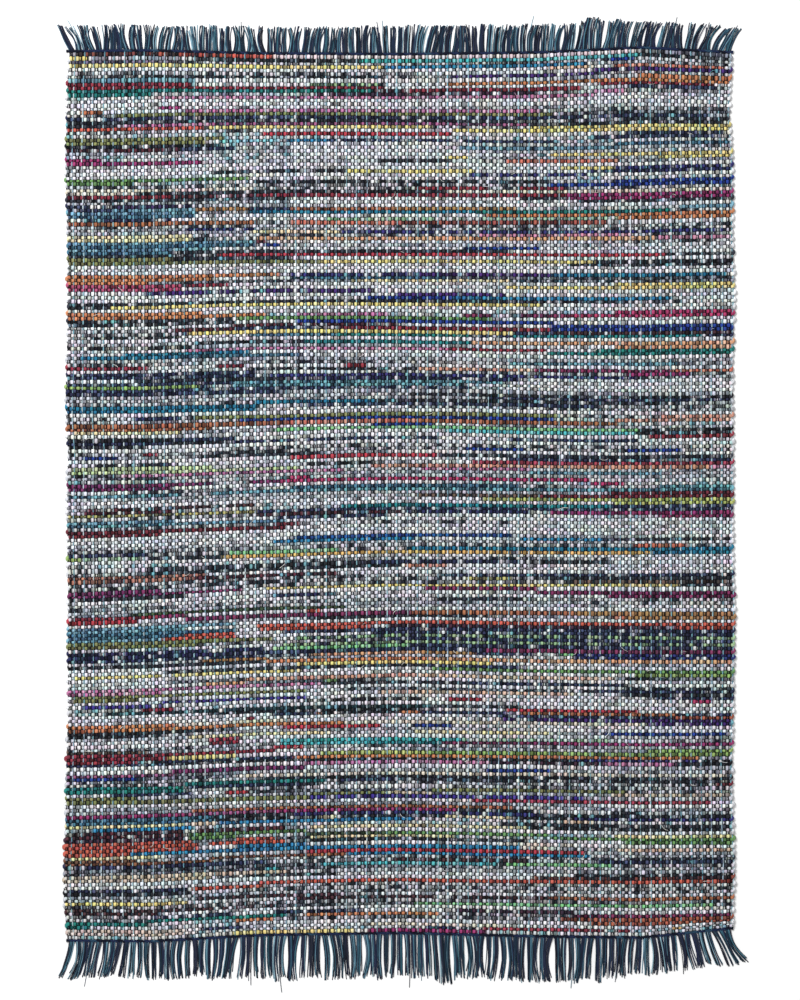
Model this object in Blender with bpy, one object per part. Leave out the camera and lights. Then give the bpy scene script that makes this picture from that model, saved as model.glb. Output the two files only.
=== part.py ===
"""Handmade cotton rug with a fringe at both ends, laid flat on the ground.

The rug is plain weave: rag strips of cotton run across it as wefts, over and
under a dark warp, and turn at the two selvedges.  Three solids are built:

  woven_rug    the cloth, one flat slab with a raised rib for every pick
  fringe_far   a narrow twined header at the +Y end with its warp locks
  fringe_near  the same at the -Y end, where the locks are longer

Lengths are in metres.  X runs across the rug, +Y to the far end and +Z up.
The underside lies on z = 0 and the origin is the middle of the bounding box
of the whole rug, on the ground.
"""

import math
import random

import bmesh
import bpy

# Driving dimensions
HALF_WIDTH = 0.800       # half the woven width, selvedge to middle
HALF_LENGTH = 1.056      # half the length from header edge to header edge
CLOTH_HEIGHT = 0.0085    # ground to the crest of a pick
RIB_DEPTH = 0.0026       # how far the valley between two picks lies below
PICKS = 262              # weft picks along the rug
PICK_SPREAD = 0.22       # share by which a pick is thicker or thinner
TURN_BULGE = 0.0034      # how far a weft turn stands out at a selvedge
HEADER_WIDTH = 0.0064    # the twined header, across its line
HEADER_HEIGHT = 0.0052
PIECE_GAP = 0.0005       # cloth to header
LOCKS = 97               # fringe locks at each end
ROOT_HALF = 0.0045       # half the width of a lock at its root
MIDDLE_HALF = 0.0041
TIP_HALF = 0.0029
MIDDLE_HEIGHT = 0.0044
TIP_HEIGHT = 0.0028
MM = 0.001

# Where the lines of the wefts are given across the rug
STATIONS = (-0.800, -0.598, -0.330, 0.000, 0.329, 0.580, 0.800)

# How far the weft lines stand off a straight line across the rug
# share of the length from the near end, then mm at each station
WEFT_LINES = (
    (0.000, (-18, -20, -5, 0, -8, -11, 12)),
    (0.094, (-21, -15, -5, 0, -4, -8, -7)),
    (0.216, (-18, -13, -4, 0, -2, -4, -3)),
    (0.298, (-23, -17, -8, 0, -4, -6, -7)),
    (0.420, (-25, -18, -8, 0, 0, 0, 1)),
    (0.543, (-14, -12, -6, 0, -1, -2, 0)),
    (0.624, (-9, -9, -2, 0, -4, -5, -2)),
    (0.747, (-4, -4, 0, 0, -3, -2, 1)),
    (0.869, (-6, -5, 0, 0, 0, 2, 7)),
    (1.000, (0, 9, 2, 0, 4, 16, 4)),
)

# The selvedges: share of the length, mm that the left and right stand out
SELVEDGES = (
    (0.00, -2, 0),
    (0.05, 8, 3),
    (0.08, 8, 5),
    (0.12, 4, 0),
    (0.20, 1, -2),
    (0.26, -4, 1),
    (0.32, -2, 4),
    (0.38, -3, 4),
    (0.44, -2, -1),
    (0.50, 0, 1),
    (0.55, -4, 1),
    (0.60, 3, -1),
    (0.66, 0, 0),
    (0.72, -1, 4),
    (0.78, -2, 1),
    (0.84, 1, 0),
    (0.88, 4, -1),
    (0.93, 1, -9),
    (0.97, -1, -4),
    (1.00, -6, -2),
)

# Locks of the far end: x of the root, then reach and lean of the tip, mm
FAR_LOCKS = (
    (-795, 58, -26),
    (-770, 63, -22),
    (-740, 62, -9),
    (-700, 62, -1),
    (-650, 63, -13),
    (-618, 62, -6),
    (-612, 61, 1),
    (-560, 60, 1),
    (-500, 62, -7),
    (-430, 61, 3),
    (-380, 62, -4),
    (-300, 63, 2),
    (-220, 62, 8),
    (-140, 64, 3),
    (-60, 66, -3),
    (20, 68, 5),
    (90, 69, 9),
    (160, 68, 2),
    (240, 66, -2),
    (320, 66, 5),
    (400, 66, 12),
    (450, 76, 6),
    (500, 70, 14),
    (560, 62, 10),
    (620, 62, 13),
    (680, 64, 16),
    (730, 62, 22),
    (795, 54, 26),
)

# Locks of the near end, the same columns
NEAR_LOCKS = (
    (-795, 84, -21),
    (-770, 90, -16),
    (-735, 90, -14),
    (-690, 84, -13),
    (-655, 84, -8),
    (-640, 88, 0),
    (-560, 92, 1),
    (-490, 92, 0),
    (-450, 96, -9),
    (-400, 100, -15),
    (-370, 104, -4),
    (-300, 106, 2),
    (-230, 104, -6),
    (-160, 104, 4),
    (-80, 106, -3),
    (0, 104, 3),
    (60, 106, 8),
    (110, 118, 2),
    (170, 102, -4),
    (240, 108, 4),
    (310, 106, -3),
    (380, 108, 2),
    (440, 106, -4),
    (500, 102, 2),
    (560, 92, -3),
    (620, 86, 6),
    (690, 84, 14),
    (735, 82, 22),
    (760, 86, 42),
    (795, 76, 42),
)


def between(value, table, column):
    """The number in that column of a table, read in a straight line between its rows."""
    if value <= table[0][0]:
        return table[0][column]
    for low, high in zip(table, table[1:]):
        if value <= high[0]:
            share = (value - low[0]) / (high[0] - low[0])
            return low[column] * (1 - share) + high[column] * share
    return table[-1][column]


def line_table(share):
    """Rows of station and height, for the weft line at that share of the length."""
    heights = []
    for station in range(len(STATIONS)):
        column = [(row[0], row[1][station]) for row in WEFT_LINES]
        heights.append(between(share, column, 1) * MM)
    return tuple(zip(STATIONS, heights))


def weft_y(share, x):
    """Where the weft line at that share of the length runs at x."""
    straight = HALF_LENGTH * (2.0 * share - 1.0)
    return straight + between(x, line_table(share), 1)


def new_object(name, mesh, collection, colour, roughness):
    """Put a mesh in the collection under a name, with one Principled material."""
    material = bpy.data.materials.new(name + "_cotton")
    material.use_nodes = True
    shader = material.node_tree.nodes["Principled BSDF"]
    shader.inputs["Base Color"].default_value = colour
    shader.inputs["Roughness"].default_value = roughness
    mesh.materials.append(material)
    thing = bpy.data.objects.new(name, mesh)
    collection.objects.link(thing)
    return thing


def pick_shares(rng):
    """Shares of the cloth's length at each valley and crest, from uneven picks."""
    widths = []
    for _ in range(PICKS):
        widths.append(1.0 + PICK_SPREAD * rng.uniform(-1.0, 1.0))
    total = sum(widths)
    shares = [0.0]
    for width in widths:
        start = shares[-1]
        shares.append(start + 0.5 * width / total)
        shares.append(start + width / total)
    return shares


def turn(row, side):
    """How far a selvedge row stands out: a weft turns back every second pick."""
    phase = (row + (2 if side > 0 else 0)) % 4
    return TURN_BULGE * (0.0, 0.75, 1.0, 0.75)[phase]


def build_cloth(collection, rng):
    """The woven slab: a grid with a ribbed top, drawn down to the ground."""
    shares = pick_shares(rng)
    rows = len(shares)
    columns = len(STATIONS)
    crests = [CLOTH_HEIGHT * (1.0 + 0.05 * rng.uniform(-1.0, 1.0)) for _ in range(rows)]
    bulges = [rng.uniform(0.7, 1.2) for _ in range(rows)]
    end = (HEADER_WIDTH + PIECE_GAP) / (2.0 * HALF_LENGTH)
    bm = bmesh.new()
    bmesh.ops.create_grid(bm, x_segments=columns - 1, y_segments=rows - 1, size=0.5)
    lines = []
    for share in shares:
        place = end + share * (1.0 - 2.0 * end)
        lines.append((place, line_table(share)))
    for vert in bm.verts:
        column = round((vert.co.x + 0.5) * (columns - 1))
        row = round((vert.co.y + 0.5) * (rows - 1))
        place, line = lines[row]
        x = STATIONS[column]
        if column == 0:
            x = -HALF_WIDTH - between(place, SELVEDGES, 1) * MM
            x += TURN_BULGE - turn(row, -1) * bulges[row]
        if column == columns - 1:
            x = HALF_WIDTH + between(place, SELVEDGES, 2) * MM
            x -= TURN_BULGE - turn(row, 1) * bulges[row]
        vert.co.x = x
        vert.co.y = HALF_LENGTH * (2.0 * place - 1.0) + line[column][1]
        vert.co.z = crests[row] - (RIB_DEPTH if row % 2 == 0 else 0.0)
    top = list(bm.faces)
    made = bmesh.ops.extrude_face_region(bm, geom=top)["geom"]
    under = [item for item in made if isinstance(item, bmesh.types.BMVert)]
    for vert in under:
        vert.co.z = 0.0
    clear_underside(bm)
    mesh = bpy.data.meshes.new("woven_rug")
    bmesh.ops.recalc_face_normals(bm, faces=list(bm.faces))
    bm.to_mesh(mesh)
    bm.free()
    return new_object("woven_rug", mesh, collection, (0.30, 0.27, 0.32, 1.0), 0.9)


def is_under(face):
    """True for a face on the ground."""
    return all(vert.co.z == 0.0 for vert in face.verts)


def clear_underside(bm):
    """Join the underside's faces to a few lengthwise strips, as it is flat."""
    crosswise = []
    for edge in bm.edges:
        faces = edge.link_faces
        if len(faces) != 2 or not all(is_under(face) for face in faces):
            continue
        along = edge.verts[1].co - edge.verts[0].co
        if abs(along.x) > abs(along.y):
            crosswise.append(edge)
    bmesh.ops.dissolve_edges(bm, edges=crosswise, use_verts=False)
    spare = []
    for vert in bm.verts:
        if vert.co.z == 0.0 and len(vert.link_edges) == 2:
            spare.append(vert)
    bmesh.ops.dissolve_verts(bm, verts=spare)


def lock_paths(table, rng):
    """Root, middle and tip offsets of each lock, spaced so that none touch."""
    pitch = 2.0 * (HALF_WIDTH - 0.006) / LOCKS
    paths = []
    last_middle = -2.0
    last_tip = -2.0
    for number in range(LOCKS):
        root = -HALF_WIDTH + 0.006 + (number + 0.5) * pitch
        reach = between(root / MM, table, 1) * MM * rng.uniform(0.94, 1.04)
        lean = between(root / MM, table, 2) * MM + rng.uniform(-0.0018, 0.0018)
        middle = root + lean * rng.uniform(0.30, 0.55)
        tip = root + lean
        middle = max(middle, last_middle + 2.4 * MIDDLE_HALF)
        tip = max(tip, last_tip + 2.7 * TIP_HALF)
        last_middle = middle
        last_tip = tip
        paths.append((root, middle, tip, reach))
    return paths


def step_face(face, centre, across, half, height):
    """Move the four corners of a lock's new end face to its next station."""
    corners = sorted(face.verts, key=lambda vert: vert.co.x)
    for side, pair in ((-1.0, corners[:2]), (1.0, corners[2:])):
        low, high = sorted(pair, key=lambda vert: vert.co.z)
        for vert, z in ((low, 0.0), (high, height)):
            vert.co.x = centre[0] + across[0] * half * side
            vert.co.y = centre[1] + across[1] * half * side
            vert.co.z = z


def build_fringe(name, collection, rng, table, share, outward):
    """A header strip along the cloth's end, and a four-sided lock from each root."""
    paths = lock_paths(table, rng)
    edges_x = [-HALF_WIDTH + 0.002]
    for root, _, _, _ in paths:
        edges_x.append(root - ROOT_HALF)
        edges_x.append(root + ROOT_HALF)
    edges_x.append(HALF_WIDTH - 0.002)
    count = len(edges_x)
    bm = bmesh.new()
    bmesh.ops.create_grid(bm, x_segments=count - 1, y_segments=1, size=0.5)
    for vert in bm.verts:
        column = round((vert.co.x + 0.5) * (count - 1))
        outer = vert.co.y * outward > 0.0
        x = edges_x[column]
        vert.co.x = x
        vert.co.y = weft_y(share, x) - (0.0 if outer else HEADER_WIDTH * outward)
        vert.co.z = HEADER_HEIGHT
    made = bmesh.ops.extrude_face_region(bm, geom=list(bm.faces))["geom"]
    for item in made:
        if isinstance(item, bmesh.types.BMVert):
            item.co.z = 0.0
    bmesh.ops.recalc_face_normals(bm, faces=list(bm.faces))
    roots = []
    for face in bm.faces:
        middle = face.calc_center_median()
        if face.normal.y * outward < 0.7:
            continue
        for path in paths:
            if abs(path[0] - middle.x) < 0.001:
                roots.append(face)
    roots.sort(key=lambda face: face.calc_center_median().x)
    for half, height, step in ((MIDDLE_HALF, MIDDLE_HEIGHT, 1), (TIP_HALF, TIP_HEIGHT, 2)):
        done = bmesh.ops.extrude_discrete_faces(bm, faces=roots)["faces"]
        roots = sorted(done, key=lambda face: face.calc_center_median().x)
        for face, path in zip(roots, paths):
            root, middle, tip, reach = path
            start = weft_y(share, root)
            x = middle if step == 1 else tip
            y = start + outward * reach * 0.5 * step
            before = root if step == 1 else middle
            run = x - before
            rise = reach * 0.5
            length = math.hypot(run, rise)
            across = (rise / length, -run * outward / length)
            step_face(face, (x, y), across, half, height)
    bmesh.ops.recalc_face_normals(bm, faces=list(bm.faces))
    mesh = bpy.data.meshes.new(name)
    bm.to_mesh(mesh)
    bm.free()
    return new_object(name, mesh, collection, (0.045, 0.075, 0.13, 1.0), 0.85)


def centre_on_box(things):
    """Shift the meshes so that the middle of their common box is over the origin."""
    xs = []
    ys = []
    for thing in things:
        for vert in thing.data.vertices:
            xs.append(vert.co.x)
            ys.append(vert.co.y)
    shift_x = -0.5 * (min(xs) + max(xs))
    shift_y = -0.5 * (min(ys) + max(ys))
    for thing in things:
        for vert in thing.data.vertices:
            vert.co.x += shift_x
            vert.co.y += shift_y
    print("shift to the middle of the box, mm:", shift_x / MM, shift_y / MM)
    print("size, mm:", (max(xs) - min(xs)) / MM, (max(ys) - min(ys)) / MM)


def main():
    """Build the rug's three solids in an empty scene."""
    for thing in list(bpy.data.objects):
        bpy.data.objects.remove(thing, do_unlink=True)
    collection = bpy.data.collections.new("handmade_cotton_rug")
    bpy.context.scene.collection.children.link(collection)
    cloth = build_cloth(collection, random.Random(11))
    far = build_fringe("fringe_far", collection, random.Random(23), FAR_LOCKS, 1.0, 1.0)
    near = build_fringe("fringe_near", collection, random.Random(37), NEAR_LOCKS, 0.0, -1.0)
    centre_on_box((cloth, far, near))
    for thing in (cloth, far, near):
        faces = thing.data.polygons
        triangles = sum(len(face.vertices) - 2 for face in faces)
        print(thing.name, len(faces), "faces", triangles, "triangles")


main()
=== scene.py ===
# %% [markdown]
# # A handwoven cotton rag rug
# The rug is plain weave.  Dark cotton warps run along it in pairs, and torn
# strips of old cloth run across as wefts, over one warp and under the next.
# A weft turns back at the edge, so a bright strip shows as a thick stripe near
# the selvedge and thins out where the strip ends.  This lesson builds every
# strand: it works out one lattice of crossings and threads all strands over it.

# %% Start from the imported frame
import math
import random

import bpy
import numpy as np
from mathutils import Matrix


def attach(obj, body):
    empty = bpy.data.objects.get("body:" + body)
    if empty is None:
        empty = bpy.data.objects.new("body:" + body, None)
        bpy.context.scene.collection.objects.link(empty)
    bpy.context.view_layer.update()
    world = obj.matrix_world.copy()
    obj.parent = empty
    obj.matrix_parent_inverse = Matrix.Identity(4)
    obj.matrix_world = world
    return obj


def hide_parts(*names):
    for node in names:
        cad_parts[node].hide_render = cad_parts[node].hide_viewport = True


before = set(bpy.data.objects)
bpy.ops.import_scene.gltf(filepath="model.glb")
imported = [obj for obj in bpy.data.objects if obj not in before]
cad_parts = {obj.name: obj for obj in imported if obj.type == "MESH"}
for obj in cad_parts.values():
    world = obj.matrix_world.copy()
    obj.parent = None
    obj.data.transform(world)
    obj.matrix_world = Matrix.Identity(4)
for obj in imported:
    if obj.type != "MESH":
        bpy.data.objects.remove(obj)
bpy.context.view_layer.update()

# %% [markdown]
# ## Measures
# All lengths are in metres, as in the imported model.  The cloth keeps the
# model's outline: seven stations across, at which the lines of the wefts are
# known, and the places where the two selvedges stand in or out.  A weaver
# beats the weft by hand, so its lines wander by a few millimetres.

# %% The rug's measures
PICKS = 262              # weft rows
WARPS = 197              # warp columns
HALF_WIDTH = 0.800
HALF_LENGTH = 1.056
MIDDLE = np.array([-0.00943, 0.015935])   # the cloth's middle in the model's frame
HEADER = 0.0069          # cloth end to the outer edge of the header line
MM = 0.001


def numbers(text, columns):
    """A table of numbers from its text, so many to a row."""
    return np.array(text.split(), float).reshape(-1, columns)


STATIONS = np.array([-0.800, -0.598, -0.330, 0.000, 0.329, 0.580, 0.800])
# share of the length from the near end, then mm at each station
WEFT_LINES = numbers("""
    0.000 -18 -20 -5 0 -8 -11 12
    0.016 -18 -19 -5 0 -7 -10 -4
    0.094 -21 -15 -5 0 -4 -8 -7
    0.216 -18 -13 -4 0 -2 -4 -3
    0.298 -23 -17 -8 0 -4 -6 -7
    0.420 -25 -18 -8 0 0 0 1
    0.543 -14 -12 -6 0 -1 -2 0
    0.624 -9 -9 -2 0 -4 -5 -2
    0.747 -4 -4 0 0 -3 -2 1
    0.869 -6 -5 0 0 0 2 7
    1.000 7 9 2 0 4 16 4
""", 8)
# share of the length, mm that the left and the right selvedge stand out
SELVEDGES = numbers("""
    0.00 -2 0   0.05 8 3   0.08 8 5   0.12 4 0   0.20 1 -2
    0.26 -4 1   0.32 -2 4   0.38 -3 4   0.44 -2 -1   0.50 0 1
    0.55 -4 1   0.60 3 -1   0.66 0 0   0.72 -1 4   0.78 -2 1
    0.84 1 0   0.88 4 -1   0.93 1 -9   0.97 -1 -4   1.00 -6 -2
""", 3)


def smooth(values, axis, times=1):
    """Each value becomes a quarter of both neighbours and half of itself, some times over."""
    values = np.moveaxis(np.array(values, float), axis, 0)
    for _ in range(times):
        low = np.concatenate([values[:1], values[:-1]])
        high = np.concatenate([values[1:], values[-1:]])
        values = 0.25 * low + 0.5 * values + 0.25 * high
    return np.moveaxis(values, 0, axis)


def read_table(table, places, share, x):
    """A table read linearly along the length, then between the places across."""
    share, x = np.broadcast_arrays(share, x)
    columns = np.stack([np.interp(share, table[:, 0], table[:, 1 + c]) for c in range(len(places))])
    at = np.interp(x, places, np.arange(len(places)))
    low = np.minimum(at.astype(int), len(places) - 2)
    part = at - low
    here = np.take_along_axis(columns, low[None], 0)[0]
    beyond = np.take_along_axis(columns, low[None] + 1, 0)[0]
    return here * (1 - part) + beyond * part


def line_height(share, x):
    """How far a weft line stands off straight, in metres."""
    return read_table(WEFT_LINES, STATIONS, share, x) * MM


def cloth_y(share, x):
    """Y of the line at that share of the cloth: straight place between the headers, plus its wander."""
    reach = HALF_LENGTH - HEADER
    return reach * (2 * share - 1) + line_height(share, x)


print("cloth", 2 * HALF_WIDTH, "by", 2 * (HALF_LENGTH - HEADER), "m,", PICKS, "picks on", WARPS, "warps")

# %% [markdown]
# ## The colours of the rags
# The wefts are torn strips of many worn cloths: mostly white and off-white,
# then navy, black and charcoal, and between them short lengths of bright ones.
# Some cloths are printed, so a strip of them shows two colours by turns.  Each
# cloth is given here as its main colour, its second colour, how often the
# second one shows, and how thick its strip is next to a plain one.

# %% The cloths: both colours as the eye sees them, 0 to 255, then share and thickness
CLOTHS = """
white 240 242 247  216 220 230  0.22 1.05
white_big 240 241 243  222 224 230  0.2 1.45
grey_white 208 211 219  120 126 140  0.25 0.95
speckled 214 216 222  44 48 60  0.34 0.9
pale_print 222 222 228  120 176 190  0.22 0.95
grey_mix 150 155 168  40 44 56  0.42 0.85
cream 232 219 196  240 238 232  0.3 1
cream_big 236 214 168  240 226 196  0.3 1.35
beige 206 184 154  228 216 200  0.35 1
beige_pink 216 188 176  226 214 204  0.4 0.95
pink_white 232 206 214  236 228 234  0.4 1
black 26 27 36  84 88 104  0.22 0.78
charcoal 56 60 74  28 30 40  0.4 0.85
black_mix 30 32 40  176 180 170  0.25 0.85
navy 34 40 76  72 84 122  0.28 0.82
navy_indigo 34 36 84  24 28 58  0.35 0.95
indigo 50 48 120  38 38 92  0.3 0.9
indigo_dark 38 40 92  28 30 60  0.4 0.85
indigo_violet 56 38 138  78 66 160  0.3 0.9
royal 28 62 158  24 46 118  0.35 0.9
royal_dark 36 46 118  30 36 88  0.4 0.95
royal_cyan 20 92 168  24 56 128  0.4 0.9
purple 70 34 118  52 32 92  0.3 0.95
purple_dark 62 44 98  38 38 70  0.4 0.85
plum 132 28 104  92 28 84  0.3 0.95
plum_dark 72 30 62  44 30 52  0.4 0.85
magenta 174 24 118  132 24 98  0.3 1
magenta_dark 150 32 98  104 30 80  0.4 0.9
magenta_deep 124 12 88  148 22 100  0.35 1
hot_pink 202 20 108  176 18 96  0.3 1.05
orchid 204 106 168  226 172 204  0.3 0.9
orchid_dark 176 82 142  92 60 92  0.4 0.85
pink 226 132 176  236 178 206  0.3 0.95
rose 196 62 118  172 40 92  0.35 1.05
crimson 164 22 58  122 20 48  0.35 1
crimson_red 206 20 58  170 20 52  0.25 1.05
crimson_rose 192 46 84  150 34 64  0.35 0.95
crimson_dark 128 22 48  96 20 42  0.35 1
maroon 96 26 48  58 24 42  0.4 0.9
maroon_brown 84 40 50  58 34 44  0.35 0.9
red_orange 222 78 48  196 60 40  0.3 1
red_orange_dark 190 62 42  60 34 44  0.45 0.9
rust 188 84 44  150 62 38  0.35 0.95
rust_dark 150 62 44  48 34 44  0.55 0.85
coral 216 98 70  232 150 122  0.35 0.95
coral_dark 178 76 60  120 50 50  0.35 0.9
salmon 226 146 116  236 186 160  0.3 1
salmon_big 226 138 104  232 160 130  0.3 1.4
orange 226 132 52  206 108 44  0.3 1
brown_orange 192 104 48  150 78 42  0.35 0.95
brown 142 82 44  104 62 42  0.35 0.95
brown_mix 118 88 74  60 52 56  0.45 0.85
peach 236 186 148  240 214 190  0.3 0.95
peach_orange 232 158 98  238 186 140  0.3 1
peach_brown 206 128 98  112 66 62  0.4 0.9
ochre 186 128 50  150 100 46  0.35 1.05
gold 234 182 48  214 156 44  0.25 1
yellow 238 218 82  244 232 140  0.25 1
yellow_pale 240 222 132  240 232 180  0.3 1
yellow_thin 230 214 96  200 196 110  0.3 0.75
cream_yellow 238 222 150  240 232 196  0.3 0.9
olive_yellow 188 182 74  90 88 62  0.35 0.9
lime_yellow 184 198 62  150 168 56  0.3 0.95
lime 146 190 62  120 162 58  0.3 1
lime_pale 182 212 134  206 222 176  0.35 0.9
lime_mix 150 200 130  40 46 72  0.45 0.85
green 92 160 62  72 128 54  0.3 1
green_dark 66 92 52  46 60 46  0.35 0.9
mint 126 200 134  166 216 168  0.3 0.9
mint_mix 150 196 158  206 214 214  0.4 0.9
olive 130 138 58  104 110 54  0.3 1
teal 16 138 146  20 106 120  0.3 0.95
teal_green 12 130 124  14 100 104  0.3 1
teal_blue 12 124 158  20 96 132  0.3 0.95
teal_light 72 182 194  122 202 210  0.35 0.9
teal_dark 22 58 68  18 38 50  0.4 0.9
turquoise 56 178 184  110 200 206  0.35 0.95
aqua_mix 112 180 194  56 92 116  0.4 0.85
steel_blue 70 124 152  44 80 108  0.4 0.9
light_blue_mix 128 184 206  78 118 146  0.4 0.9
light_cyan 124 200 214  168 216 224  0.35 0.95
cyan_blue 34 140 188  28 110 160  0.3 0.95
lilac_dark 120 108 140  50 50 72  0.45 0.85
"""
cloth_rows = [line.split() for line in CLOTHS.strip().splitlines()]
RAG_NAMES = [row[0] for row in cloth_rows]
rag_numbers = np.array([row[1:] for row in cloth_rows], float)


def linear(colour):
    """From the eye's 0 to 255 to light: the sRGB curve, its straight foot and its 2.4 power."""
    c = np.asarray(colour, float) / 255.0
    return np.where(c <= 0.04045, c / 12.92, ((c + 0.055) / 1.055) ** 2.4)


WASHED_WARM, WASHED_COOL = 0.28, 0.06   # share of the colour that years of washing took
GREY_OF = np.array([0.2126, 0.7152, 0.0722])
LINT = 0.030             # share of pale lint on every cloth


def washed(colours):
    """Colours drawn towards the grey that is as light as they are, reds and yellows most."""
    grey = colours @ GREY_OF
    share = np.where(colours[:, 0] > colours[:, 2], WASHED_WARM, WASHED_COOL)[:, None]
    faded = colours * (1 - share) + grey[:, None] * share
    return faded * (1 - LINT) + LINT * 0.5


rag_main, rag_second = washed(linear(rag_numbers[:, 0:3])), washed(linear(rag_numbers[:, 3:6]))
rag_share, rag_thickness = rag_numbers[:, 6], rag_numbers[:, 7]
print(len(RAG_NAMES), "cloths")
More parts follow.
